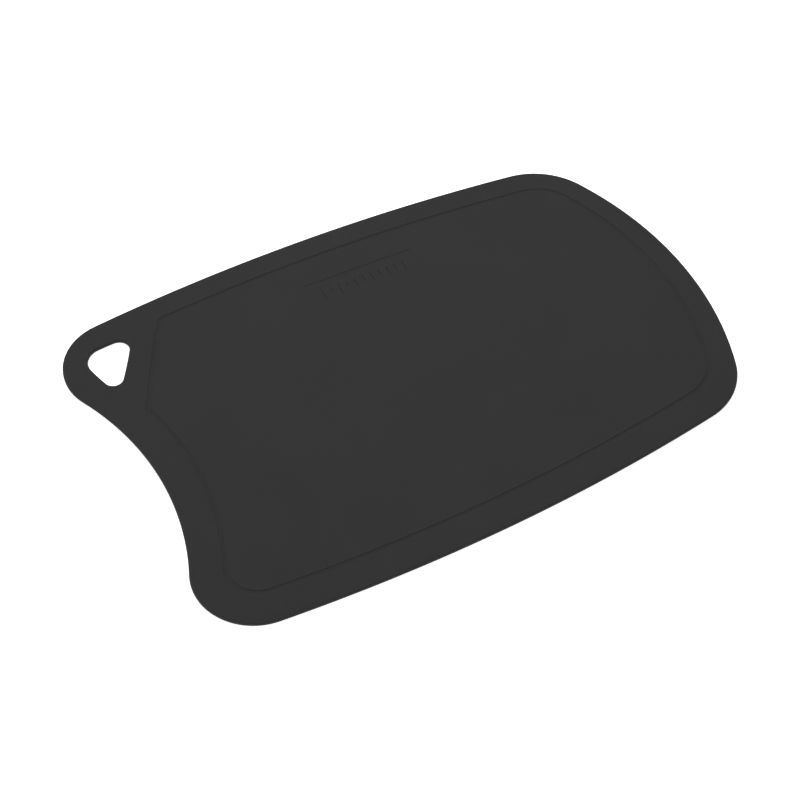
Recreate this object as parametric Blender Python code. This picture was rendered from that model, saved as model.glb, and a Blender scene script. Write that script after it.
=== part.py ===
"""Flexible one-piece cutting board with a hang hole, a juice groove and a row of plain marks.

The board lies flat: +X runs to its far end, +Y to its back edge and +Z points up. The hang hole is
in the corner at the left and back. The origin is at the bottom of the board, under the centre of its
outline. Sizes are in metres.
"""

import math

import bmesh
import bpy
from mathutils import Matrix, Vector

MM = 0.001

# Outline: four arcs between four virtual corners, and a rounding at each corner
CORNER_SPACING = 370.0 * MM
HANG_END_WIDTH = 234.6 * MM
FAR_END_WIDTH = 224.5 * MM
LONG_EDGE_BULGE = 14.5 * MM
FAR_END_BULGE = 29.6 * MM
HANG_END_HOLLOW = 43.2 * MM
HANG_END_CORNER_RADIUS = 36.9 * MM
FAR_END_CORNER_RADIUS = 45.7 * MM

# Section of the sheet
THICKNESS = 2.5 * MM
RIM_ROUNDING = 0.8 * MM

# Hang hole: a triangle with bulged sides and round corners, placed from the centre of its corner's rounding
HOLE_FROM_CORNER_CENTRE = Vector((-6.8, 5.5)) * MM
HOLE_CORNERS = (Vector((-14.3, 11.9)) * MM, Vector((-5.7, -25.6)) * MM, Vector((20.0, 13.7)) * MM)
HOLE_CORNER_RADII = (11.7 * MM, 5.9 * MM, 6.7 * MM)
HOLE_BULGES = (1.3 * MM, 0.8 * MM, 1.0 * MM)

# Juice groove: a shallow flat channel inside the outline, which cuts off the corner with the hole
GROOVE_WIDTH = 2.8 * MM
GROOVE_DEPTH = 0.25 * MM
GROOVE_MARGIN = 18.5 * MM
GROOVE_SHIFT = Vector((2.6, 1.4)) * MM
GROOVE_LEAST_BEND = 5.0 * MM
LINK_FROM_HOLE = 26.5 * MM
LINK_ANGLE = math.radians(59.7)
LINK_BULGE = 0.7 * MM

# Plain marks: a sunk line along the groove's back stretch and a row of ticks in front of it
MARK_LINE_LENGTH = 74.0 * MM
MARKS_CENTRE_X = 9.4 * MM
MARKS_FROM_GROOVE = 20.6 * MM
TICK_ROW_LENGTH = 55.0 * MM
TICK_SPACING = 5.5 * MM
TICKS_PER_LONG_TICK = 2
LONG_TICK = 7.5 * MM
SHORT_TICK = 5.0 * MM
TICK_GAP = 7.0 * MM
MARK_WIDTH = 0.6 * MM
MARK_LINE_DEPTH = 0.15 * MM
TICK_DEPTH = 0.3 * MM

# Fineness of the mesh
ARC_TOLERANCE = 0.03 * MM
RIM_RESOLUTION = 2
WELD_DISTANCE = 0.001 * MM
CUT_OVERRUN = 1.0 * MM
SHARP_ANGLE = math.radians(35.0)

PLASTIC_COLOUR = (0.035, 0.035, 0.035, 1.0)
PLASTIC_ROUGHNESS = 0.72


def clear_scene():
    """Remove what the scene holds."""
    for item in list(bpy.data.objects):
        bpy.data.objects.remove(item, do_unlink=True)


def make_collection(name):
    """Return a new collection in the scene."""
    collection = bpy.data.collections.new(name)
    bpy.context.scene.collection.children.link(collection)
    return collection


def make_plastic():
    """Return the black moulded plastic."""
    plastic = bpy.data.materials.new("black_plastic")
    plastic.use_nodes = True
    shader = plastic.node_tree.nodes["Principled BSDF"]
    shader.inputs["Base Color"].default_value = PLASTIC_COLOUR
    shader.inputs["Roughness"].default_value = PLASTIC_ROUGHNESS
    shader.inputs["Metallic"].default_value = 0.0
    return plastic


def circle_through(start, end, bulge):
    """Return the centre and signed radius of the arc from start to end.

    The bulge is the arc's height over its chord, to the right of the way from start to end. A hollow
    arc has a negative bulge and a negative radius.
    """
    chord = end - start
    outward = Vector((chord.y, -chord.x)).normalized()
    radius = (chord.length_squared / 4 + bulge ** 2) / (2 * bulge)
    return (start + end) / 2 + outward * (bulge - radius), radius


def edge_circles(corners, bulges):
    """Return the circle of each edge of a loop; edge i runs from corner i to the next one."""
    ends = corners[1:] + corners[:1]
    return [circle_through(start, end, bulge) for start, end, bulge in zip(corners, ends, bulges)]


def rounding_centre(before, after, radius, corner):
    """Return the centre of the rounding that touches two edge circles near a corner."""
    (centre_a, radius_a), (centre_b, radius_b) = before, after
    reach_a = abs(radius_a - radius)
    reach_b = abs(radius_b - radius)
    span = centre_b - centre_a
    along = (reach_a ** 2 - reach_b ** 2 + span.length_squared) / (2 * span.length)
    aside = math.sqrt(reach_a ** 2 - along ** 2)
    direction = span.normalized()
    foot = centre_a + direction * along
    offset = Vector((-direction.y, direction.x)) * aside
    return min((foot + offset, foot - offset), key=lambda point: (point - corner).length)


def arc_points(centre, radius, start, end):
    """Return the points of an arc from start up to, but not including, end."""
    first = math.atan2(start.y - centre.y, start.x - centre.x)
    last = math.atan2(end.y - centre.y, end.x - centre.x)
    turn = math.remainder(last - first, 2 * math.pi)
    step = 2 * math.acos(1 - ARC_TOLERANCE / abs(radius))
    count = max(2, math.ceil(abs(turn) / step))
    angles = [first + turn * i / count for i in range(count)]
    return [centre + Vector((math.cos(a), math.sin(a))) * abs(radius) for a in angles]


def rounded_loop(corners, circles, radii):
    """Return the points of a closed loop of arcs, rounded at its corners.

    Circle i is the edge that leaves corner i, and radius i rounds corner i.
    """
    count = len(corners)
    centres = [rounding_centre(circles[i - 1], circles[i], radii[i], corners[i]) for i in range(count)]

    def touch(circle, i):
        centre, radius = circle
        return centre + (centres[i] - centre).normalized() * abs(radius)

    points = []
    for i in range(count):
        following = (i + 1) % count
        points += arc_points(centres[i], radii[i], touch(circles[i - 1], i), touch(circles[i], i))
        points += arc_points(*circles[i], touch(circles[i], i), touch(circles[i], following))
    return points


def outline_corners():
    """Return the virtual corners, counter-clockwise from the one at the hang hole."""
    half_length = CORNER_SPACING / 2
    half_hang = HANG_END_WIDTH / 2
    half_far = FAR_END_WIDTH / 2
    return [
        Vector((-half_length, half_hang)),
        Vector((-half_length, -half_hang)),
        Vector((half_length, -half_far)),
        Vector((half_length, half_far)),
    ]


OUTLINE_CORNERS = outline_corners()
OUTLINE_CIRCLES = edge_circles(
    OUTLINE_CORNERS, (-HANG_END_HOLLOW, LONG_EDGE_BULGE, FAR_END_BULGE, LONG_EDGE_BULGE)
)
OUTLINE_RADII = (
    HANG_END_CORNER_RADIUS, HANG_END_CORNER_RADIUS, FAR_END_CORNER_RADIUS, FAR_END_CORNER_RADIUS
)
HANG_CORNER_CENTRE = rounding_centre(
    OUTLINE_CIRCLES[-1], OUTLINE_CIRCLES[0], HANG_END_CORNER_RADIUS, OUTLINE_CORNERS[0]
)
HOLE_CENTRE = HANG_CORNER_CENTRE + HOLE_FROM_CORNER_CENTRE

# The outline reaches from its roundest point at the hang end to the crown of the far end
HANG_END_X = HANG_CORNER_CENTRE.x - HANG_END_CORNER_RADIUS
FAR_END_X = CORNER_SPACING / 2 + FAR_END_BULGE
OUTLINE_CENTRE = Vector(((HANG_END_X + FAR_END_X) / 2, 0.0))


def line_meets_circle(point, direction, circle, near):
    """Return where a line crosses a circle, at the crossing that is nearer to a point."""
    centre, radius = circle
    foot = point + direction * direction.dot(centre - point)
    reach = math.sqrt(radius ** 2 - (foot - centre).length_squared)
    crossings = (foot + direction * reach, foot - direction * reach)
    return min(crossings, key=lambda crossing: (crossing - near).length)


def outline_points():
    """Return the points of the board's edge."""
    return rounded_loop(OUTLINE_CORNERS, OUTLINE_CIRCLES, OUTLINE_RADII)


def hole_points():
    """Return the points of the hang hole's edge."""
    corners = [HOLE_CENTRE + corner for corner in HOLE_CORNERS]
    return rounded_loop(corners, edge_circles(corners, HOLE_BULGES), HOLE_CORNER_RADII)


def groove_points(inset):
    """Return the points of a line along the groove, at an inset from its middle line.

    The outline's arcs are moved in by the margin. A link crosses the corner with the hole, at a set
    distance from the hole's centre, from the back arc to the arc of the hollow.
    """
    inner = [(centre + GROOVE_SHIFT, radius - GROOVE_MARGIN) for centre, radius in OUTLINE_CIRCLES]
    hang_corner, *other_corners = OUTLINE_CORNERS
    along = Vector((math.cos(LINK_ANGLE), math.sin(LINK_ANGLE)))
    middle = HOLE_CENTRE + Vector((along.y, -along.x)) * LINK_FROM_HOLE
    link_back = line_meets_circle(middle, along, inner[-1], hang_corner)
    link_front = line_meets_circle(middle, along, inner[0], hang_corner)
    link = circle_through(link_back, link_front, LINK_BULGE)
    bends = [GROOVE_LEAST_BEND, GROOVE_LEAST_BEND]
    bends += [max(radius - GROOVE_MARGIN, GROOVE_LEAST_BEND) for radius in OUTLINE_RADII[1:]]
    circles = [(centre, radius - inset) for centre, radius in (link, *inner)]
    bends = [bend - inset for bend in bends]
    return rounded_loop([link_back, link_front, *other_corners], circles, bends)


def add_spline(curve, points):
    """Add a closed spline through points in the board's own frame."""
    spline = curve.splines.new("POLY")
    spline.points.add(len(points) - 1)
    for target, point in zip(spline.points, points):
        placed = point - OUTLINE_CENTRE
        target.co = (placed.x, placed.y, 0.0, 1.0)
    spline.use_cyclic_u = True


def mesh_from_curve(curve, name, collection):
    """Return a mesh object with the shape of a curve, and remove the curve."""
    source = bpy.data.objects.new(name + "_curve", curve)
    collection.objects.link(source)
    bpy.context.view_layer.update()
    depsgraph = bpy.context.evaluated_depsgraph_get()
    mesh = bpy.data.meshes.new_from_object(source.evaluated_get(depsgraph))
    mesh.name = name
    shape = bmesh.new()
    shape.from_mesh(mesh)
    bmesh.ops.remove_doubles(shape, verts=shape.verts, dist=WELD_DISTANCE)
    shape.to_mesh(mesh)
    shape.free()
    result = bpy.data.objects.new(name, mesh)
    result.matrix_world = source.matrix_world
    collection.objects.link(result)
    bpy.data.objects.remove(source, do_unlink=True)
    bpy.data.curves.remove(curve)
    return result


def make_sheet(collection):
    """Return the flat sheet with its hang hole and rounded rims, standing on the ground plane.

    The curve is drawn in by the rounding and swells back by as much, so the wall lies on the outline.
    """
    curve = bpy.data.curves.new("board_outline", "CURVE")
    curve.dimensions = "2D"
    curve.fill_mode = "BOTH"
    curve.extrude = THICKNESS / 2 - RIM_ROUNDING
    curve.offset = -RIM_ROUNDING
    curve.bevel_depth = RIM_ROUNDING
    curve.bevel_resolution = RIM_RESOLUTION
    add_spline(curve, outline_points())
    add_spline(curve, hole_points())
    sheet = mesh_from_curve(curve, "board", collection)
    for vertex in sheet.data.vertices:
        vertex.co.z += THICKNESS / 2
    return sheet


def make_groove_cutter(collection):
    """Return the band that sinks the groove into the top face."""
    height = GROOVE_DEPTH + CUT_OVERRUN
    curve = bpy.data.curves.new("groove_band", "CURVE")
    curve.dimensions = "2D"
    curve.fill_mode = "BOTH"
    curve.extrude = height / 2
    add_spline(curve, groove_points(-GROOVE_WIDTH / 2))
    add_spline(curve, groove_points(GROOVE_WIDTH / 2))
    cutter = mesh_from_curve(curve, "groove_cutter", collection)
    for vertex in cutter.data.vertices:
        vertex.co.z += THICKNESS - GROOVE_DEPTH + height / 2
    return cutter


def marks_placement():
    """Return the middle of the marked line, and how far the marks turn to follow the groove.

    The middle lies straight inwards of the point where the groove's back stretch crosses the marks' x.
    """
    centre, radius = OUTLINE_CIRCLES[-1]
    centre = centre + GROOVE_SHIFT - OUTLINE_CENTRE
    groove_radius = radius - GROOVE_MARGIN
    bearing = math.acos((MARKS_CENTRE_X - centre.x) / groove_radius)
    outward = Vector((math.cos(bearing), math.sin(bearing)))
    return centre + outward * (groove_radius - MARKS_FROM_GROOVE), bearing - math.pi / 2


def mark_rectangles():
    """Return the centre, size and depth of each mark, as seen from the middle of the marked line."""
    tick_back = -MARK_WIDTH / 2 - TICK_GAP
    tick_count = math.floor(TICK_ROW_LENGTH / TICK_SPACING + 0.5) + 1
    first_x = -TICK_SPACING * (tick_count - 1) / 2
    rectangles = [(0.0, 0.0, MARK_LINE_LENGTH, MARK_WIDTH, MARK_LINE_DEPTH)]
    for i in range(tick_count):
        x = first_x + TICK_SPACING * i
        tick = SHORT_TICK if i % TICKS_PER_LONG_TICK else LONG_TICK
        rectangles.append((x, tick_back - tick / 2, MARK_WIDTH, tick, TICK_DEPTH))
    return rectangles


def make_mark_cutter(collection):
    """Return the blocks that sink the marks into the top face."""
    middle, turn = marks_placement()
    shape = bmesh.new()
    for x, y, length, width, depth in mark_rectangles():
        height = depth + CUT_OVERRUN
        block = bmesh.ops.create_cube(shape, size=1.0)["verts"]
        bmesh.ops.scale(shape, verts=block, vec=(length, width, height))
        bmesh.ops.translate(shape, verts=block, vec=(x, y, THICKNESS - depth + height / 2))
    bmesh.ops.rotate(shape, verts=shape.verts, matrix=Matrix.Rotation(turn, 3, "Z"))
    bmesh.ops.translate(shape, verts=shape.verts, vec=(middle.x, middle.y, 0.0))
    mesh = bpy.data.meshes.new("mark_cutter")
    shape.to_mesh(mesh)
    shape.free()
    cutter = bpy.data.objects.new("mark_cutter", mesh)
    collection.objects.link(cutter)
    return cutter


def cut(board, cutter):
    """Cut one shape out of the board."""
    cutter.hide_render = True
    cutter.display_type = "WIRE"
    difference = board.modifiers.new(cutter.name, "BOOLEAN")
    difference.operation = "DIFFERENCE"
    difference.solver = "EXACT"
    difference.object = cutter


def main():
    """Build the board."""
    clear_scene()
    parts = make_collection("cutting_board")
    cutters = make_collection("cutters")
    board = make_sheet(parts)
    board.data.materials.append(make_plastic())
    board.data.shade_smooth()
    board.data.set_sharp_from_angle(angle=SHARP_ANGLE)
    cut(board, make_groove_cutter(cutters))
    cut(board, make_mark_cutter(cutters))


main()
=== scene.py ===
"""The looks of a flexible plastic cutting board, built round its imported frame.

The board lies flat: +X runs to its far end, +Y to its back edge and +Z points up. The hang hole is in
the corner at the left and back. The fine mesh follows the same arcs and sections as the solid part,
and takes its place and thickness from the frame. Sizes are in metres.
"""

import logging
import math
from collections.abc import Sequence
from dataclasses import dataclass, field
from enum import Enum
from typing import Protocol

import bmesh
import bpy
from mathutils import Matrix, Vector
from mathutils.geometry import delaunay_2d_cdt
from mathutils.kdtree import KDTree


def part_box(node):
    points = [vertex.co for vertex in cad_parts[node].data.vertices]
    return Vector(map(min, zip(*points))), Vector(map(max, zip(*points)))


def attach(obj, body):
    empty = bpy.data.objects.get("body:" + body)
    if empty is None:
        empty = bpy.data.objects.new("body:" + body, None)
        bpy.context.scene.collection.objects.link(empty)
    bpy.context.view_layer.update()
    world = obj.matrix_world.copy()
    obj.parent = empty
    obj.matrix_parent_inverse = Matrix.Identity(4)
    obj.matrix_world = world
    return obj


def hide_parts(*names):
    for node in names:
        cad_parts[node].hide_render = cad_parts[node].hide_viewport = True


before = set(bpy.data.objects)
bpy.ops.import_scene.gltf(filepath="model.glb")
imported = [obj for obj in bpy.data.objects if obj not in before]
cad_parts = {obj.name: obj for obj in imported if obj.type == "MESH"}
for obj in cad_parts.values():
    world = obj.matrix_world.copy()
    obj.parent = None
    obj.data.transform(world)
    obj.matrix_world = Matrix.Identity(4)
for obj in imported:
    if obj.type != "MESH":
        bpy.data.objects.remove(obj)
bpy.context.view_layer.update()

MM = 0.001
QUARTER_TURN = math.pi / 2
LARGEST_TURN = math.radians(4.0)  # between two points of a bend
WHITE = (1.0, 1.0, 1.0, 1.0)

Colour = tuple[float, float, float]
Ring = list[bmesh.types.BMVert]

log = logging.getLogger("cutting_board")


def angle_steps(last: float, steps: int) -> list[float]:
    """Return the angles from zero to the last one, in equal steps."""
    return [last * i / steps for i in range(steps + 1)]


def heading(angle: float) -> Vector:
    """Return the flat unit vector at an angle from +X."""
    return Vector((math.cos(angle), math.sin(angle)))


class Rim(Enum):
    """The two kinds of rim, with the side of their line that the plastic lies on."""

    OUTER = 1
    HOLE = -1


@dataclass(frozen=True)
class SectionPoint:
    """A point of a section that is swept along a loop.

    The inset is how far it lies inside the loop. The wear_and_light share says how much hands wear it
    and how much painted light lifts its shade, and the shelter how deep it lies in a recess, both
    from
    0 to 1.
    """

    inset: float
    height: float
    # Painted light: this share also lifts the colour of rim walls and groove lips, besides marking
    # wear.
    wear_and_light: float = 0.0
    shelter: float = 0.0


class Loop(Protocol):
    """A closed line on the board that can be drawn at any distance inside itself."""

    def ring(self, inset: float) -> list[Vector]:
        """Return the loop's points, moved inwards by the inset."""


@dataclass(frozen=True)
class Circle:
    """A circle that an edge runs along; a hollow edge has a negative radius."""

    centre: Vector
    radius: float

    @classmethod
    def through(cls, start: Vector, end: Vector, bulge: float) -> "Circle":
        """Find the circle of the arc from one point to another.

        Args:
            start: Where the arc begins.
            end: Where the arc ends.
            bulge: The arc's height over its chord, to the right of the way there.

        Returns:
            The circle, with a negative radius for a negative bulge.
        """
        chord = end - start
        outward = Vector((chord.y, -chord.x)).normalized()
        radius = (chord.length_squared / 4 + bulge ** 2) / (2 * bulge)
        return cls((start + end) / 2 + outward * (bulge - radius), radius)

    def inside(self, margin: float, shift: Vector) -> "Circle":
        """Return the circle moved inwards by a margin, and sideways by a shift."""
        return Circle(self.centre + shift, self.radius - margin)

    def touch(self, other: Vector) -> Vector:
        """Return where a rounding with this centre touches the circle."""
        return self.centre + (other - self.centre).normalized() * abs(self.radius)

    def crossing(self, point: Vector, direction: Vector, near: Vector) -> Vector:
        """Find where a straight line crosses the circle.

        Args:
            point: A point on the line.
            direction: The line's unit direction.
            near: A point close to the wanted crossing.

        Returns:
            The crossing that is nearer to that point.
        """
        foot = point + direction * direction.dot(self.centre - point)
        reach = math.sqrt(self.radius ** 2 - (foot - self.centre).length_squared)
        crossings = (foot + direction * reach, foot - direction * reach)
        return min(crossings, key=lambda crossing: (crossing - near).length)

    def rounding(self, following: "Circle", radius: float, corner: Vector) -> Vector:
        """Find the centre of the rounding between this edge and the one that follows it.

        Args:
            following: The circle of the edge that leaves the corner.
            radius: The radius of the rounding.
            corner: The virtual corner where the two edges meet.

        Returns:
            The centre of the rounding.
        """
        reach = abs(self.radius - radius)
        following_reach = abs(following.radius - radius)
        span = following.centre - self.centre
        along = (reach ** 2 - following_reach ** 2 + span.length_squared) / (2 * span.length)
        direction = span.normalized()
        foot = self.centre + direction * along
        offset = Vector((-direction.y, direction.x)) * math.sqrt(reach ** 2 - along ** 2)
        return min((foot + offset, foot - offset), key=lambda centre: (centre - corner).length)


@dataclass(frozen=True)
class Arc:
    """A stretch of a circle, cut into equal steps."""

    circle: Circle
    first: float
    turn: float
    steps: int

    @classmethod
    def between(cls, circle: Circle, start: Vector, end: Vector, spacing: float) -> "Arc":
        """Cut the shorter way round a circle into steps.

        Args:
            circle: The circle to follow.
            start: The point on the circle where the arc begins.
            end: The point on the circle where the arc ends.
            spacing: The greatest length of a step.

        Returns:
            The arc.
        """
        first = math.atan2(start.y - circle.centre.y, start.x - circle.centre.x)
        last = math.atan2(end.y - circle.centre.y, end.x - circle.centre.x)
        turn = math.remainder(last - first, 2 * math.pi)
        least_steps = math.ceil(abs(turn) / LARGEST_TURN)
        steps = max(least_steps, math.ceil(abs(turn * circle.radius) / spacing))
        return cls(circle, first, turn, steps)

    def points(self, inset: float) -> list[Vector]:
        """Lay out the arc's points, without the last one.

        Args:
            inset: How far they are moved inwards.

        Returns:
            The points, from the arc's start.
        """
        reach = abs(self.circle.radius - inset)
        angles = angle_steps(self.turn, self.steps)[:-1]
        return [self.circle.centre + heading(self.first + angle) * reach for angle in angles]


@dataclass(frozen=True)
class RoundedLoop:
    """A closed loop of arcs that touch each other."""

    arcs: tuple[Arc, ...]

    @classmethod
    def rounded(
        cls,
        corners: Sequence[Vector],
        circles: Sequence[Circle],
        radii: Sequence[float],
        spacing: float,
    ) -> "RoundedLoop":
        """Join edges on circles into a loop, and round its corners.

        Args:
            corners: The virtual corners, counter-clockwise.
            circles: The circle of the edge that leaves each corner.
            radii: The radius of the rounding at each corner.
            spacing: The greatest distance between two points.

        Returns:
            The loop.
        """
        count = len(corners)
        centres = [circles[i - 1].rounding(circles[i], radii[i], corners[i]) for i in range(count)]
        arcs = []
        for i, centre in enumerate(centres):
            leaving = circles[i].touch(centre)
            arriving = circles[i].touch(centres[(i + 1) % count])
            bend = Circle(centre, radii[i])
            arcs.append(Arc.between(bend, circles[i - 1].touch(centre), leaving, spacing))
            arcs.append(Arc.between(circles[i], leaving, arriving, spacing))
        return cls(tuple(arcs))

    def ring(self, inset: float) -> list[Vector]:
        """Return the loop's points, moved inwards by the inset."""
        return [point for arc in self.arcs for point in arc.points(inset)]


@dataclass(frozen=True)
class Slot:
    """A straight sunk mark with round ends."""

    centre: Vector
    along: Vector
    length: float
    width: float
    depth: float
    end_steps: int = 10

    def ring(self, inset: float) -> list[Vector]:
        """Lay out the slot's edge.

        Args:
            inset: How far it is moved inwards.

        Returns:
            Its points, counter-clockwise.
        """
        reach = self.along * (self.length - self.width) / 2
        radius = self.width / 2 - inset
        bearing = math.atan2(self.along.y, self.along.x)
        points = []
        for side in (1, -1):
            end = self.centre + reach * side
            start = bearing - QUARTER_TURN * side
            angles = angle_steps(math.pi, self.end_steps)
            points += [end + heading(start + angle) * radius for angle in angles]
        return points


class SheetMesh:
    """A closed mesh that is made of walls along loops and of flat faces between them."""

    TRIANGLES_INSIDE_LOOPS = 1
    MERGE_DISTANCE = 1e-9

    def __init__(self) -> None:
        """Start with an empty mesh."""
        self.shape = bmesh.new()
        # One layer holds the wear share, which the finish also uses to paint light on rim walls and
        # lips.
        self.wear_and_light = self.shape.verts.layers.float.new("wear_and_light")
        self.shelter = self.shape.verts.layers.float.new("shelter")

    def _ring(self, points: list[Vector], at: SectionPoint) -> Ring:
        """Add the vertices of one ring.

        Args:
            points: Where they lie on the board.
            at: The point of the section that the ring belongs to.

        Returns:
            The new vertices.
        """
        ring = [self.shape.verts.new((point.x, point.y, at.height)) for point in points]
        for vertex in ring:
            vertex[self.wear_and_light] = at.wear_and_light
            vertex[self.shelter] = at.shelter
        return ring

    def add_wall(self, loop: Loop, section: Sequence[SectionPoint]) -> tuple[Ring, Ring]:
        """Sweep a section along a loop.

        Args:
            loop: The loop to follow.
            section: The points of the section, in order.

        Returns:
            The rings at the section's first and last point.
        """
        rings = [self._ring(loop.ring(at.inset), at) for at in section]
        for upper, lower in zip(rings, rings[1:]):
            for i in range(len(upper)):
                corners = (upper[i - 1], upper[i], lower[i], lower[i - 1])
                self.shape.faces.new(corners).smooth = True
        return rings[0], rings[-1]

    def add_flat(self, outer: Ring, holes: Sequence[Ring], spacing: float) -> None:
        """Fill a level face with even triangles.

        Args:
            outer: The ring round the face.
            holes: The rings round its holes.
            spacing: The distance between the points inside the face.
        """
        rings = [outer, *holes]
        vertices = [vertex for ring in rings for vertex in ring]
        points = [Vector(vertex.co.xy) for vertex in vertices]
        loops = []
        first = 0
        for ring in rings:
            loops.append(list(range(first, first + len(ring))))
            first += len(ring)
        points += self._grid(points, spacing)
        flat_points, _, triangles, origins, _, owners = delaunay_2d_cdt(
            points, [], loops, self.TRIANGLES_INSIDE_LOOPS, self.MERGE_DISTANCE
        )
        height = outer[0].co.z
        made = {
            i: vertices[origin[0]] for i, origin in enumerate(origins) if origin[0] < len(vertices)
        }
        outer_loop_only = [0]
        for triangle, owning_loops in zip(triangles, owners):
            if owning_loops != outer_loop_only:
                continue
            for i in triangle:
                if i not in made:
                    made[i] = self.shape.verts.new((*flat_points[i], height))
            self.shape.faces.new([made[i] for i in triangle]).smooth = False

    @staticmethod
    def _grid(border: list[Vector], spacing: float) -> list[Vector]:
        """Lay out points inside a face, in rows that are half a step apart.

        Args:
            border: The points of all its rings.
            spacing: The distance between the points.

        Returns:
            The points that keep clear of the rings; some may lie outside the face.
        """
        tree = KDTree(len(border))
        for i, point in enumerate(border):
            tree.insert((point.x, point.y, 0.0), i)
        tree.balance()
        left, right = min(p.x for p in border), max(p.x for p in border)
        front, back = min(p.y for p in border), max(p.y for p in border)
        row_gap = spacing * math.sqrt(3) / 2
        points = []
        for row in range(math.ceil((back - front) / row_gap)):
            for column in range(math.ceil((right - left) / spacing)):
                x = left + (column + row % 2 / 2) * spacing
                y = front + row * row_gap
                if tree.find((x, y, 0.0))[2] > spacing / 2:
                    points.append(Vector((x, y)))
        return points

    def add_floor(self, ring: Ring) -> None:
        """Close the bottom of a small mark with one face."""
        self.shape.faces.new(ring).smooth = False

    def finish(self, name: str) -> bpy.types.Object:
        """Turn the collected faces into an object.

        Args:
            name: The name of the object.

        Returns:
            The new object, in the scene.
        """
        bmesh.ops.recalc_face_normals(self.shape, faces=self.shape.faces)
        mesh = bpy.data.meshes.new(name)
        self.shape.to_mesh(mesh)
        self.shape.free()
        piece = bpy.data.objects.new(name, mesh)
        bpy.context.scene.collection.objects.link(piece)
        return piece


class Value:
    """A number that varies over a surface; Python's operators add its Math nodes."""

    def __init__(self, graph: "Graph", socket: bpy.types.NodeSocket) -> None:
        """Wrap a node's output."""
        self.graph = graph
        self.socket = socket

    def _math(self, operation: str, *operands: "Value | float") -> "Value":
        """Return the result of a Math node."""
        inputs = dict(enumerate(operands))
        return self.graph.value("ShaderNodeMath", {"operation": operation}, inputs)

    def __add__(self, other: "Value | float") -> "Value":
        """Return the sum."""
        return self._math("ADD", self, other)

    def __sub__(self, other: "Value | float") -> "Value":
        """Return the difference."""
        return self._math("SUBTRACT", self, other)

    def __rsub__(self, other: float) -> "Value":
        """Return the difference from a plain number."""
        return self._math("SUBTRACT", other, self)

    def __mul__(self, other: "Value | float") -> "Value":
        """Return the product."""
        return self._math("MULTIPLY", self, other)

    __radd__ = __add__
    __rmul__ = __mul__

    def at_most(self, other: "Value | float") -> "Value":
        """Return the smaller of the two."""
        return self._math("MINIMUM", self, other)

    def ramp(self, low: float, high: float) -> "Value":
        """Turn the number into a smooth step.

        Args:
            low: Where the step starts to rise from 0.
            high: Where it reaches 1.

        Returns:
            The step's height.
        """
        settings = {"interpolation_type": "SMOOTHSTEP"}
        inputs = {"Value": self, "From Min": low, "From Max": high}
        return self.graph.value("ShaderNodeMapRange", settings, inputs)


class Graph:
    """The node tree of a material, filled one node at a time."""

    NOISE_MIDDLE = 0.5

    def __init__(self, name: str) -> None:
        """Make an empty material.

        Args:
            name: Its name.
        """
        self.material = bpy.data.materials.new(name)
        self.material.use_nodes = True
        self.tree = self.material.node_tree
        self.tree.nodes.clear()

    def node(
        self, kind: str, settings: dict[str, object], inputs: dict[str | int, object]
    ) -> bpy.types.Node:
        """Add a node.

        Args:
            kind: The node's type.
            settings: Its own settings, which are set first.
            inputs: What each socket takes, by name or number: a value, a Value or an output.

        Returns:
            The node.
        """
        node = self.tree.nodes.new(kind)
        for key, setting in settings.items():
            setattr(node, key, setting)
        for key, content in inputs.items():
            source = content.socket if isinstance(content, Value) else content
            if isinstance(source, bpy.types.NodeSocket):
                self.tree.links.new(source, node.inputs[key])
            else:
                node.inputs[key].default_value = source
        return node

    def value(
        self,
        kind: str,
        settings: dict[str, object],
        inputs: dict[str | int, object],
        output: str | int = 0,
    ) -> Value:
        """Add a node and return one of its outputs as a number.

        Args:
            kind: The node's type.
            settings: Its own settings.
            inputs: What each socket takes.
            output: The output's name or number.

        Returns:
            The number.
        """
        return Value(self, self.node(kind, settings, inputs).outputs[output])

    def attribute(self, name: str) -> Value:
        """Return a number that the mesh holds at its vertices."""
        return self.value("ShaderNodeAttribute", {"attribute_name": name}, {}, "Fac")

    def places(self) -> bpy.types.NodeSocket:
        """Return the place on the object, in metres."""
        return self.node("ShaderNodeTexCoord", {}, {}).outputs["Object"]

    def noise(
        self, places: bpy.types.NodeSocket, size: float = 1.0, detail: float = 0.0
    ) -> Value:
        """Add a cloudy pattern.

        Args:
            places: Where to read it.
            size: The size of its largest features, in the units of the places.
            detail: How many finer layers it has.

        Returns:
            A number that varies round NOISE_MIDDLE, mostly by less than 0.2.
        """
        inputs = {"Vector": places, "Scale": 1 / size, "Detail": detail}
        return self.value("ShaderNodeTexNoise", {}, inputs, "Fac")

    def shade(self, colour: Colour, strength: Value) -> bpy.types.NodeSocket:
        """Return a colour, made lighter or darker by a number."""
        inputs = {0: colour, "Scale": strength}
        return self.node("ShaderNodeVectorMath", {"operation": "SCALE"}, inputs).outputs[0]

    def close(self, shader: bpy.types.Node) -> bpy.types.Material:
        """Send a shader to the material's output and return the material."""
        self.node("ShaderNodeOutputMaterial", {}, {"Surface": shader.outputs[0]})
        return self.material


@dataclass(frozen=True)
class Effect:
    """What a pattern does to a surface where the pattern is 1.

    The tone is a share of the colour, and the height is in metres.
    """

    tone: float = 0.0
    roughness: float = 0.0
    height: float = 0.0


@dataclass(frozen=True)
class Clouds:
    """A pattern of soft patches that lie a little above and below zero."""

    size: float
    detail: float
    effect: Effect

    def pattern(self, graph: Graph, places: bpy.types.NodeSocket) -> Value:
        """Return the pattern's value at each place."""
        return graph.noise(places, self.size, self.detail) - graph.NOISE_MIDDLE


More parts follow.
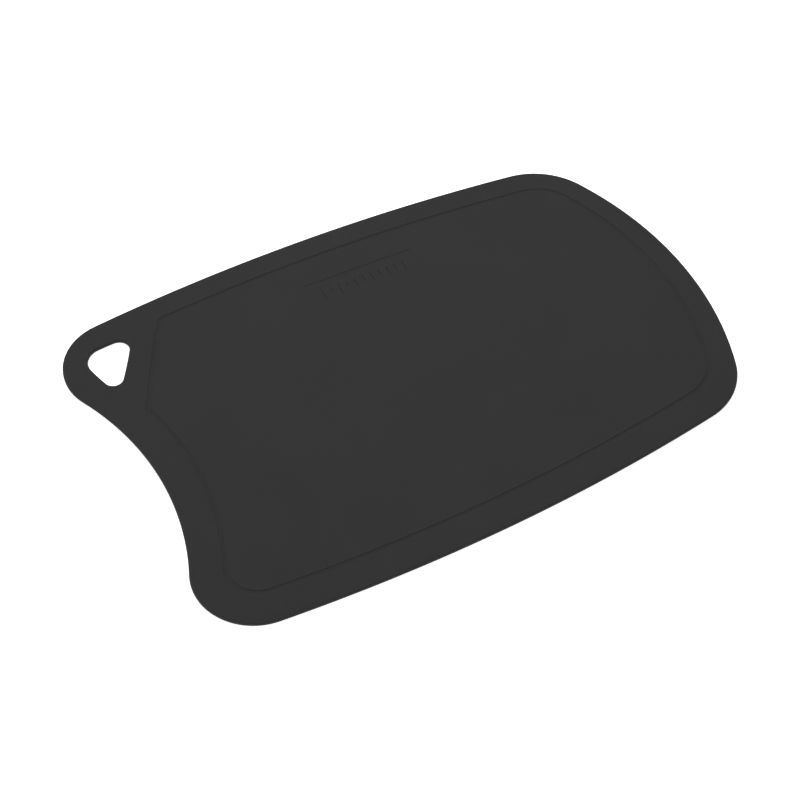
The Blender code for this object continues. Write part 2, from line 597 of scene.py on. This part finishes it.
@dataclass(frozen=True)
class Grain:
    """The fine relief that an eroded mould leaves: soft grains with small pits among them."""

    size: float = 0.28 * MM
    detail: float = 2.0
    pit_size: float = 0.22 * MM
    pit_softness: float = 0.6
    pit_share: float = 0.5
    height: float = 0.13 * MM
    rubbed_away: float = 0.6

    def relief(self, graph: Graph, places: bpy.types.NodeSocket, worn_and_lit: Value) -> Value:
        """Build the relief, which is flatter where hands have worn it.

        Args:
            graph: The material's nodes.
            places: The place on the object.
            worn_and_lit: How worn each place is, from 0 to 1; the colour uses it for painted light
                too.

        Returns:
            The height, in metres.
        """
        inputs = {"Vector": places, "Scale": 1 / self.pit_size, "Smoothness": self.pit_softness}
        pits = graph.value("ShaderNodeTexVoronoi", {"feature": "SMOOTH_F1"}, inputs, "Distance")
        grains = graph.noise(places, self.size, self.detail)
        return (grains + pits * self.pit_share) * (1.0 - worn_and_lit * self.rubbed_away) * self.height


@dataclass(frozen=True)
class Hairlines:
    """Sparse fine scratches in a few directions, gathered in soft patches.

    A scratch is where stretched noise rises from the first threshold to the second. The offset moves
    each direction's noise on from the one before.
    """

    length: float = 60.0 * MM
    width: float = 0.35 * MM
    angles: tuple[float, ...] = (math.radians(12), math.radians(-38), math.radians(71))
    offset: tuple[float, float, float] = (0.31, 0.17, 0.0)
    thresholds: tuple[float, float] = (0.74, 0.80)
    patch_size: float = 82.5 * MM
    patch_detail: float = 2.0
    patch_thresholds: tuple[float, float] = (0.40, 0.75)
    effect: Effect = Effect(tone=0.06, roughness=-0.10, height=-0.004 * MM)

    def pattern(self, graph: Graph, places: bpy.types.NodeSocket) -> Value:
        """Draw the scratches.

        Args:
            graph: The material's nodes.
            places: The place on the object.

        Returns:
            A number that is 1 in a scratch and 0 beside it.
        """
        stretch = (1 / self.length, 1 / self.width, 1 / self.length)
        directions = []
        for count, angle in enumerate(self.angles):
            inputs = {
                "Vector": places,
                "Location": Vector(self.offset) * count,
                "Rotation": (0.0, 0.0, angle),
            }
            turned = graph.node("ShaderNodeMapping", {"vector_type": "TEXTURE"}, inputs)
            stretched = graph.node(
                "ShaderNodeVectorMath", {"operation": "MULTIPLY"}, {0: turned.outputs[0], 1: stretch}
            )
            directions.append(graph.noise(stretched.outputs[0]).ramp(*self.thresholds))
        patches = graph.noise(places, self.patch_size, self.patch_detail)
        return sum(directions).at_most(1.0) * patches.ramp(*self.patch_thresholds)


@dataclass(frozen=True)
class MouldedPlastic:
    """Matt black plastic with its mould's fine grain, faint wear and painted light on rims and lips.
    """

    colour: Colour = (0.035, 0.035, 0.035)
    roughness: float = 0.72
    specular_level: float = 0.08
    mottle: Clouds = Clouds(size=55.0 * MM, detail=3.0, effect=Effect(tone=0.03, roughness=0.16))
    specks: Clouds = Clouds(size=0.35 * MM, detail=1.0, effect=Effect(tone=0.35, roughness=0.15))
    waves: Clouds = Clouds(size=70.0 * MM, detail=1.0, effect=Effect(height=0.05 * MM))
    hairlines: Hairlines = Hairlines()
    grain: Grain = Grain()
    # The rubbing tone stands for wear and is also painted light: it lifts the shade of the rim walls,
    # the hang hole's wall and the groove lips.
    wear_and_light_effect: Effect = Effect(tone=0.22, roughness=-0.12)
    shelter: Effect = Effect(roughness=0.03)

    def material(self, name: str) -> bpy.types.Material:
        """Build the material.

        Args:
            name: Its name.

        Returns:
            The material, which reads the mesh's wear and painted light share and its shelter.
        """
        graph = Graph(name)
        places = graph.places()
        worn_and_lit = graph.attribute("wear_and_light")
        sheltered = graph.attribute("shelter")
        clouds = (self.mottle, self.specks, self.waves)
        layers = [(cloud.pattern(graph, places), cloud.effect) for cloud in clouds]
        layers += [
            (self.hairlines.pattern(graph, places) * (1.0 - sheltered), self.hairlines.effect),
            # Painted light: the wear share makes rim walls and groove lips lighter, as if lit.
            (worn_and_lit, self.wear_and_light_effect),
            (sheltered, self.shelter),
        ]
        tone = sum((pattern * effect.tone for pattern, effect in layers if effect.tone), 1.0)
        roughness = sum(
            (pattern * effect.roughness for pattern, effect in layers if effect.roughness),
            self.roughness,
        )
        height = sum(
            (pattern * effect.height for pattern, effect in layers if effect.height),
            self.grain.relief(graph, places, worn_and_lit),
        )
        bump = graph.node("ShaderNodeBump", {}, {"Height": height, "Distance": 1.0})
        shader = graph.node("ShaderNodeBsdfPrincipled", {}, {
            "Base Color": graph.shade(self.colour, tone),
            "Roughness": roughness,
            "Specular IOR Level": self.specular_level,
            "Normal": bump.outputs[0],
        })
        return graph.close(shader)


@dataclass(frozen=True)
class PaleFloor:
    """A pale matt studio floor, which the camera and mirrors see as white."""

    colour: Colour = (0.92, 0.92, 0.92)
    glow: float = 0.8

    def material(self, name: str) -> bpy.types.Material:
        """Build the material.

        Args:
            name: Its name.

        Returns:
            The material: plain matt for the light that it passes on, and glowing where it is seen.
        """
        graph = Graph(name)
        path = graph.node("ShaderNodeLightPath", {}, {})
        rays = ("Is Camera Ray", "Is Glossy Ray", "Is Transmission Ray")
        seen = sum(Value(graph, path.outputs[ray]) for ray in rays)
        matt = {"Base Color": (*self.colour, 1.0), "Roughness": 1.0, "Specular IOR Level": 0.0}
        plain = graph.node("ShaderNodeBsdfPrincipled", {}, matt)
        glow = {"Emission Color": WHITE, "Emission Strength": self.glow}
        glowing = graph.node("ShaderNodeBsdfPrincipled", {}, matt | glow)
        inputs = {0: seen.at_most(1.0), 1: plain.outputs[0], 2: glowing.outputs[0]}
        return graph.close(graph.node("ShaderNodeMixShader", {}, inputs))


@dataclass
class Marks:
    """The plain marks: a sunk line along the groove, and a row of ticks in front of it."""

    line_length: float = 74.0 * MM
    centre_x: float = 9.4 * MM
    from_groove: float = 20.6 * MM
    tick_row_length: float = 55.0 * MM
    tick_spacing: float = 5.5 * MM
    ticks_per_long_tick: int = 2
    long_tick: float = 7.5 * MM
    short_tick: float = 5.0 * MM
    tick_gap: float = 7.0 * MM
    width: float = 0.6 * MM
    line_depth: float = 0.15 * MM
    tick_depth: float = 0.3 * MM
    lip_radius: float = 0.05 * MM
    lip_steps: int = 2

    def slots(self, groove: Circle, outline_middle: float) -> list[Slot]:
        """Lay out the marks.

        Args:
            groove: The circle of the groove's stretch behind them.
            outline_middle: The middle of the outline's length.

        Returns:
            The line, then the ticks from left to right.
        """
        outward = heading(
            math.acos((outline_middle + self.centre_x - groove.centre.x) / groove.radius)
        )
        along = Vector((outward.y, -outward.x))
        middle = groove.centre + outward * (groove.radius - self.from_groove)
        tick_back = self.width / 2 + self.tick_gap
        count = math.floor(self.tick_row_length / self.tick_spacing + 0.5) + 1
        slots = [Slot(middle, along, self.line_length, self.width, self.line_depth)]
        for i in range(count):
            length = self.short_tick if i % self.ticks_per_long_tick else self.long_tick
            reach = self.tick_spacing * (i - (count - 1) / 2)
            centre = middle + along * reach - outward * (tick_back + length / 2)
            slots.append(Slot(centre, outward, length, self.width, self.tick_depth))
        return slots

    def section(self, top: float, depth: float) -> list[SectionPoint]:
        """Draw the section of a mark's wall.

        Args:
            top: The height of the board's upper face.
            depth: How deep the mark is sunk.

        Returns:
            The points from the rim of the mark down to its bottom.
        """
        angles = angle_steps(QUARTER_TURN, self.lip_steps)
        points = []
        for angle in angles:
            drop = self.lip_radius * (1 - math.cos(angle))
            points.append((-self.lip_radius * (1 - math.sin(angle)), drop))
        for angle in angles:
            drop = depth - self.lip_radius * (1 - math.sin(angle))
            points.append((self.lip_radius * (2 - math.cos(angle)), drop))
        return [SectionPoint(inset, top - drop, 0.0, drop / depth) for inset, drop in points]


@dataclass
class Groove:
    """The juice groove: a flat channel with steep walls, softened at its lips and its foot."""

    width: float = 2.8 * MM
    depth: float = 0.25 * MM
    wall_slope: float = math.radians(60.0)
    lip_radius: float = 0.2 * MM
    foot_radius: float = 0.2 * MM
    # Share of wear on the lips, which also paints them lighter.
    lip_wear_and_light: float = 0.2
    margin: float = 18.5 * MM
    shift: Vector = field(default_factory=lambda: Vector((2.6, 1.4)) * MM)
    least_bend: float = 5.0 * MM
    link_from_hole: float = 26.5 * MM
    link_angle: float = math.radians(59.7)
    link_bulge: float = 0.7 * MM
    bend_steps: int = 6

    def section(self, top: float) -> list[SectionPoint]:
        """Draw the groove's section, from the outer lip to the inner one.

        Args:
            top: The height of the board's upper face.

        Returns:
            The points, with insets measured from the groove's middle line.
        """
        lip_inset = self.width / 2 + self.lip_radius * math.tan(self.wall_slope / 2)
        wall_run = self.depth / math.tan(self.wall_slope)
        foot_inset = self.width / 2 - wall_run - self.foot_radius * math.tan(self.wall_slope / 2)
        angles = angle_steps(self.wall_slope, self.bend_steps)
        inner = []
        for angle in angles:
            inset = foot_inset + self.foot_radius * math.sin(angle)
            drop = self.depth - self.foot_radius * (1 - math.cos(angle))
            inner.append(SectionPoint(inset, top - drop, 0.0, drop / self.depth))
        for angle in reversed(angles):
            inset = lip_inset - self.lip_radius * math.sin(angle)
            drop = self.lip_radius * (1 - math.cos(angle))
            # The lips get the wear share, which also paints light on them.
            worn_and_lit_lip = self.lip_wear_and_light if angle else 0.0
            inner.append(SectionPoint(inset, top - drop, worn_and_lit_lip, drop / self.depth))
        outer = [SectionPoint(-p.inset, p.height, p.wear_and_light, p.shelter) for p in inner]
        return outer[::-1] + inner


@dataclass
class CuttingBoard:
    """The whole board: a flexible sheet with a rounded rim, a hang hole, a groove and marks.

    The spacing is that of the points along its lines, and the face spacing that of the points inside
    its flat faces.
    """

    corner_spacing: float = 370.0 * MM
    hang_end_width: float = 234.6 * MM
    far_end_width: float = 224.5 * MM
    long_edge_bulge: float = 14.5 * MM
    far_end_bulge: float = 29.6 * MM
    hang_end_hollow: float = 43.2 * MM
    hang_end_corner_radius: float = 36.9 * MM
    far_end_corner_radius: float = 45.7 * MM
    rim_rounding: float = 0.8 * MM
    rim_steps: int = 10
    hole_from_corner_centre: Vector = field(default_factory=lambda: Vector((-6.8, 5.5)) * MM)
    hole_corners: tuple[Vector, ...] = (
        Vector((-14.3, 11.9)) * MM, Vector((-5.7, -25.6)) * MM, Vector((20.0, 13.7)) * MM
    )
    hole_corner_radii: tuple[float, ...] = (11.7 * MM, 5.9 * MM, 6.7 * MM)
    hole_bulges: tuple[float, ...] = (1.3 * MM, 0.8 * MM, 1.0 * MM)
    spacing: float = 1.2 * MM
    face_spacing: float = 6.0 * MM
    groove: Groove = field(default_factory=Groove)
    marks: Marks = field(default_factory=Marks)
    finish: MouldedPlastic = MouldedPlastic()
    low: Vector = field(init=False)
    high: Vector = field(init=False)
    corners: list[Vector] = field(init=False)
    circles: list[Circle] = field(init=False)
    radii: list[float] = field(init=False)
    hole_centre: Vector = field(init=False)

    def __post_init__(self) -> None:
        """Work out the outline's corners and circles, and where the hang hole lies."""
        half_length = self.corner_spacing / 2
        half_hang = self.hang_end_width / 2
        half_far = self.far_end_width / 2
        long_edge = self.long_edge_bulge
        self.low, self.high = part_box("board")
        self.corners = [
            Vector((-half_length, half_hang)),
            Vector((-half_length, -half_hang)),
            Vector((half_length, -half_far)),
            Vector((half_length, half_far)),
        ]
        bulges = [-self.hang_end_hollow, long_edge, self.far_end_bulge, long_edge]
        self.circles = self._edges(self.corners, bulges)
        self.radii = [self.hang_end_corner_radius] * 2 + [self.far_end_corner_radius] * 2
        hang_corner_centre = self.circles[-1].rounding(
            self.circles[0], self.hang_end_corner_radius, self.corners[0]
        )
        self.hole_centre = hang_corner_centre + self.hole_from_corner_centre

    @staticmethod
    def _edges(corners: Sequence[Vector], bulges: Sequence[float]) -> list[Circle]:
        """Return the circle of each edge of a loop, from its corner to the next one."""
        ends = [*corners[1:], corners[0]]
        return [Circle.through(*edge) for edge in zip(corners, ends, bulges)]

    def outline(self) -> RoundedLoop:
        """Return the board's edge."""
        return RoundedLoop.rounded(self.corners, self.circles, self.radii, self.spacing)

    def hang_hole(self) -> RoundedLoop:
        """Draw the hang hole.

        Returns:
            Its edge.
        """
        corners = [self.hole_centre + corner for corner in self.hole_corners]
        circles = self._edges(corners, self.hole_bulges)
        return RoundedLoop.rounded(corners, circles, self.hole_corner_radii, self.spacing)

    def groove_circles(self) -> list[Circle]:
        """Return the circles of the groove's long stretches, which follow the outline's."""
        return [circle.inside(self.groove.margin, self.groove.shift) for circle in self.circles]

    def groove_line(self) -> RoundedLoop:
        """Draw the groove, which cuts off the corner with the hole.

        Returns:
            Its middle line.
        """
        groove = self.groove
        inner = self.groove_circles()
        hang_corner, *other_corners = self.corners
        along = heading(groove.link_angle)
        middle = self.hole_centre + Vector((along.y, -along.x)) * groove.link_from_hole
        back = inner[-1].crossing(middle, along, hang_corner)
        front = inner[0].crossing(middle, along, hang_corner)
        link = Circle.through(back, front, groove.link_bulge)
        bends = [groove.least_bend] * 2
        bends += [max(radius - groove.margin, groove.least_bend) for radius in self.radii[1:]]
        return RoundedLoop.rounded([back, front, *other_corners], [link, *inner], bends, self.spacing)

    def rim_section(self, rim: Rim) -> list[SectionPoint]:
        """Draw the section of a rim, from the upper face round to the underside.

        Args:
            rim: The kind of rim.

        Returns:
            The points of the section.
        """
        upper, lower = [], []
        for angle in angle_steps(QUARTER_TURN, self.rim_steps):
            # The wear share rises to 1 on the side wall, where it also paints light that lifts the
            # wall's shade.
            wear_and_light = math.sin(angle)
            inset = rim.value * self.rim_rounding * (1 - wear_and_light)
            drop = self.rim_rounding * (1 - math.cos(angle))
            upper.append(SectionPoint(inset, self.high.z - drop, wear_and_light))
            lower.append(SectionPoint(inset, self.low.z + drop, wear_and_light))
        return upper + lower[::-1]

    def build(self) -> bpy.types.Object:
        """Build the board's mesh and fit it to the frame.

        Returns:
            The board.
        """
        sheet = SheetMesh()
        outline_top, outline_bottom = sheet.add_wall(self.outline(), self.rim_section(Rim.OUTER))
        hole_top, hole_bottom = sheet.add_wall(self.hang_hole(), self.rim_section(Rim.HOLE))
        groove_section = self.groove.section(self.high.z)
        groove_outer, groove_inner = sheet.add_wall(self.groove_line(), groove_section)
        mark_tops = []
        for slot in self.marks.slots(self.groove_circles()[-1], self.outline_middle()):
            section = self.marks.section(self.high.z, slot.depth)
            mark_top, mark_bottom = sheet.add_wall(slot, section)
            sheet.add_floor(mark_bottom)
            mark_tops.append(mark_top)
        sheet.add_flat(outline_top, [hole_top, groove_outer], self.face_spacing)
        sheet.add_flat(groove_inner, mark_tops, self.face_spacing)
        sheet.add_flat(outline_bottom, [hole_bottom], self.face_spacing)
        board = sheet.finish("board_sheet")
        self._fit(board)
        return board

    def outline_middle(self) -> float:
        """Return the middle of the outline's length."""
        lengths = [point.x for point in self.outline().ring(0.0)]
        return (min(lengths) + max(lengths)) / 2

    def _fit(self, board: bpy.types.Object) -> None:
        """Lay the mesh's own box exactly on the frame's box.

        Args:
            board: The board's object.
        """
        places = [vertex.co.copy() for vertex in board.data.vertices]
        for axis in range(2):
            lowest = min(place[axis] for place in places)
            length = max(place[axis] for place in places) - lowest
            scale = (self.high[axis] - self.low[axis]) / length
            for vertex, place in zip(board.data.vertices, places):
                vertex.co[axis] = self.low[axis] + (place[axis] - lowest) * scale

    def dress(self, board: bpy.types.Object) -> None:
        """Give the board its finish and put it in the place of the solid board.

        Args:
            board: The board's object.
        """
        board.data.materials.append(self.finish.material("black_plastic"))
        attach(board, "root")
        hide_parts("board")


def direction_to(azimuth: float, elevation: float) -> Vector:
    """Find the way from the board to something that stands round it.

    Args:
        azimuth: Its angle from straight in front of the board, towards the far end.
        elevation: Its angle over the floor.

    Returns:
        The unit vector towards it.
    """
    level = math.cos(elevation)
    return Vector((math.sin(azimuth) * level, -math.cos(azimuth) * level, math.sin(elevation)))


@dataclass
class SoftLamp:
    """A square soft box that points at the board, with its power in watts."""

    name: str
    azimuth: float
    elevation: float
    distance: float
    size: float
    power: float

    def build(self) -> None:
        """Hang the lamp."""
        lamp = bpy.data.lights.new(self.name, "AREA")
        lamp.shape = "SQUARE"
        lamp.size = self.size
        lamp.energy = self.power
        holder = bpy.data.objects.new(self.name, lamp)
        away = direction_to(self.azimuth, self.elevation)
        holder.location = away * self.distance
        holder.rotation_euler = away.to_track_quat("Z", "Y").to_euler()
        bpy.context.scene.collection.objects.link(holder)


@dataclass
class Studio:
    """A round pale stage with a raised edge, a grey room and soft lamps."""

    floor_radius: float = 5.0
    bend_radius: float = 0.8
    wall_height: float = 1.7
    floor_gap: float = 0.05 * MM
    turn_steps: int = 96
    bend_steps: int = 12
    room_grey: float = 0.35
    finish: PaleFloor = PaleFloor()
    lamps: tuple[SoftLamp, ...] = (
        SoftLamp(
            "key_lamp",
            azimuth=math.radians(165),
            elevation=math.radians(40),
            distance=7.0,
            size=3.6,
            power=341.0,
        ),
        SoftLamp(
            "fill_lamp",
            azimuth=math.radians(-48),
            elevation=math.radians(14),
            distance=4.5,
            size=1.2,
            power=34.0,
        ),
    )

    def stage(self) -> bpy.types.Object:
        """Build the floor and the wall round it.

        Returns:
            The stage.
        """
        profile = [(self.floor_radius, -self.floor_gap)]
        for angle in angle_steps(QUARTER_TURN, self.bend_steps)[1:]:
            rise = self.bend_radius * (1 - math.cos(angle))
            profile.append((self.floor_radius + self.bend_radius * math.sin(angle), rise))
        profile.append((self.floor_radius + self.bend_radius, self.wall_height))
        shape = bmesh.new()
        round_the_stage = [heading(a) for a in angle_steps(2 * math.pi, self.turn_steps)[:-1]]
        rings = []
        for radius, height in profile:
            rings.append([shape.verts.new((*(way * radius), height)) for way in round_the_stage])
        shape.faces.new(rings[0])
        for inner, outer in zip(rings, rings[1:]):
            for i in range(self.turn_steps):
                corners = (inner[i - 1], outer[i - 1], outer[i], inner[i])
                shape.faces.new(corners).smooth = True
        mesh = bpy.data.meshes.new("stage")
        shape.to_mesh(mesh)
        shape.free()
        stage = bpy.data.objects.new("stage", mesh)
        bpy.context.scene.collection.objects.link(stage)
        mesh.materials.append(self.finish.material("pale_floor"))
        return stage

    def room(self) -> None:
        """Fill the room with plain grey light, and show colours as they are written."""
        world = bpy.data.worlds.new("room")
        world.use_nodes = True
        background = world.node_tree.nodes["Background"]
        background.inputs["Color"].default_value = (self.room_grey,) * 3 + (1.0,)
        bpy.context.scene.world = world
        bpy.context.scene.view_settings.view_transform = "Standard"

    def build(self) -> bpy.types.Object:
        """Build the room, the lamps and the stage.

        Returns:
            The stage.
        """
        self.room()
        for lamp in self.lamps:
            lamp.build()
        return self.stage()


@dataclass
class PhotoCamera:
    """The camera at the photograph's viewing angle; its sensor and lens are in millimetres."""

    azimuth: float = math.radians(-28.985)
    elevation: float = math.radians(48.82)
    distance: float = 1324.9 * MM
    target: Vector = field(default_factory=lambda: Vector((-19.6, -15.6, 0.0)) * MM)
    sensor_width: float = 36.0
    lens: float = 101.07

    def build(self) -> None:
        """Set up the camera and make it the scene's own."""
        camera = bpy.data.cameras.new("photo_camera")
        camera.sensor_width = self.sensor_width
        camera.lens = self.lens
        holder = bpy.data.objects.new("photo_camera", camera)
        back = direction_to(self.azimuth, self.elevation)
        holder.location = self.target + back * self.distance
        holder.rotation_euler = back.to_track_quat("Z", "Y").to_euler()
        bpy.context.scene.collection.objects.link(holder)
        bpy.context.scene.camera = holder


def main() -> None:
    """Build the camera, the studio and the board, and report each piece."""
    logging.basicConfig(level=logging.INFO, format="%(name)s: %(message)s")
    PhotoCamera().build()
    stage = Studio().build()
    cutting_board = CuttingBoard()
    board = cutting_board.build()
    cutting_board.dress(board)
    for piece in (stage, board):
        log.info("%s: %d faces", piece.name, len(piece.data.polygons))


if __name__ == "__main__":
    main()
